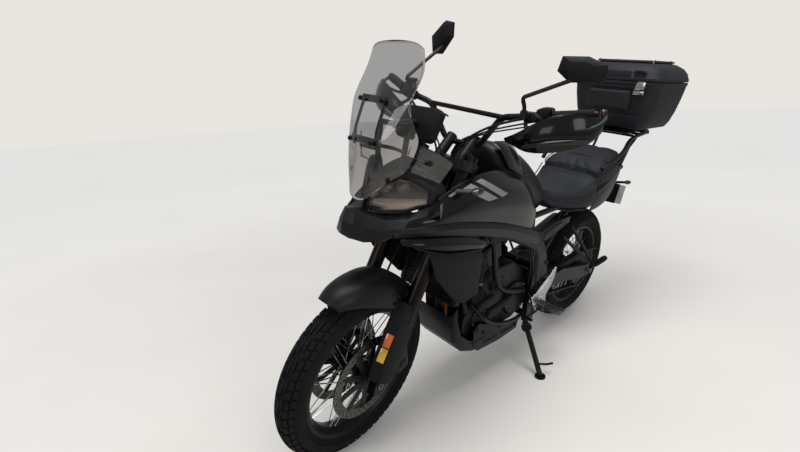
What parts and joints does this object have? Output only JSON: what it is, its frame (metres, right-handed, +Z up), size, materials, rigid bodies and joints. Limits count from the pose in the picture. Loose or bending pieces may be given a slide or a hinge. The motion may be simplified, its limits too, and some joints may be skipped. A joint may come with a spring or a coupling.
{
  "type": "adventure motorcycle",
  "caption": "Adventure motorcycle on wire-spoked wheels, leaning on its side stand, with tall screen, handguards, skid plate and a hinged top case on a rack.",
  "frame": {"origin": "centre of the bottom of the box that holds the whole motorcycle, on the ground", "axes": "+X forward, +Y to the rider's left, the side it leans to, +Z up"},
  "size_m": [2.3673, 0.9078, 1.5093],
  "materials": {
    "tyre": "moulded rubber",
    "black_frame_paint": "satin black powder coat",
    "black_alloy": "satin black on cast alloy",
    "bare_alloy": "machined",
    "disc_steel": "ground",
    "chain_steel": "oiled",
    "fork_anodised": "dark anodised",
    "gloss_black_plastic": "gloss",
    "matt_black_plastic": "fine grain",
    "grip_rubber": "moulded",
    "smoke_clear": "clear, lightly smoked",
    "lamp_clear": "clear lens over a bright reflector",
    "amber_lens": "amber",
    "red_lens": "red",
    "seat_vinyl": "grained vinyl",
    "engine_black": "satin black",
    "radiator_fins": "black fins",
    "exhaust_steel": "heat tinted",
    "silencer_steel": "satin black",
    "screen_glass": "display"
  },
  "bodies": {
    "chassis": {"backrest_pad": "seat_vinyl", "beak": "matt_black_plastic", "dashboard": "screen_glass", "drive_chain": "chain_steel", "engine": "engine_black", "exhaust_headers": "exhaust_steel", "fairing_stay": "black_frame_paint", "fuel_tank": "gloss_black_plastic", "headlamps": "lamp_clear", "indicators": "amber_lens", "luggage_rack": "black_frame_paint", "main_frame": "black_frame_paint", "passenger_footrests": "black_alloy", "passenger_seat": "seat_vinyl", "plate_holder": "matt_black_plastic", "radiator": "radiator_fins", "rear_axle": "bare_alloy", "rider_footrests": "bare_alloy", "rider_seat": "seat_vinyl", "shock_absorber": "black_alloy", "side_fairings": "gloss_black_plastic", "silencer": "silencer_steel", "skid_plate": "black_alloy", "stand_bracket": "black_frame_paint", "subframe": "black_frame_paint", "swingarm": "black_alloy", "tail_lamp": "red_lens", "tail_panels": "matt_black_plastic", "top_case_tub": "matt_black_plastic", "windscreen": "smoke_clear"},
    "front_fork": {"fork_legs": "fork_anodised", "front_axle": "bare_alloy", "front_calipers": "black_alloy", "front_fender": "matt_black_plastic", "grips": "grip_rubber", "hand_controls": "matt_black_plastic", "handguards": "gloss_black_plastic", "handlebar": "black_frame_paint", "lower_clamp_and_stem": "black_alloy", "mirrors": "matt_black_plastic", "upper_clamp": "black_alloy"},
    "front_wheel": {"front_brake_discs": "disc_steel", "front_laced_wheel": "black_alloy", "front_tyre": "tyre"},
    "rear_wheel": {"rear_brake_disc": "disc_steel", "rear_laced_wheel": "black_alloy", "rear_sprocket": "disc_steel", "rear_tyre": "tyre"},
    "side_stand": {"side_stand": "black_frame_paint"},
    "top_case_lid": {"top_case_lid": "matt_black_plastic"}
  },
  "joints": [
    {"name": "steering", "type": "hinge", "parent": "chassis", "child": "front_fork", "pos_m": [0.55581, -0.07793, 0.81211], "axis": [-0.4462, 0.1246, 0.8862], "range_deg": [-46, 30]},
    {"name": "front_wheel_spin", "type": "hinge", "parent": "front_fork", "child": "front_wheel", "pos_m": [0.85681, -0.13955, 0.3235], "axis": [-0.1246, 0.972, -0.1993], "continuous": true},
    {"name": "rear_wheel_spin", "type": "hinge", "parent": "chassis", "child": "rear_wheel", "pos_m": [-0.61868, -0.14729, 0.31861], "axis": [0, 0.9903, -0.1392], "continuous": true},
    {"name": "side_stand_fold", "type": "hinge", "parent": "chassis", "child": "side_stand", "pos_m": [-0.03868, -0.01587, 0.17593], "axis": [0.0163, 0.8024, 0.5966], "range_deg": [0, 98]},
    {"name": "top_case_lid_hinge", "type": "hinge", "parent": "chassis", "child": "top_case_lid", "pos_m": [-1.17768, -0.0102, 1.29402], "axis": [0, -0.9903, 0.1392], "range_deg": [0, 70]}
  ]
}
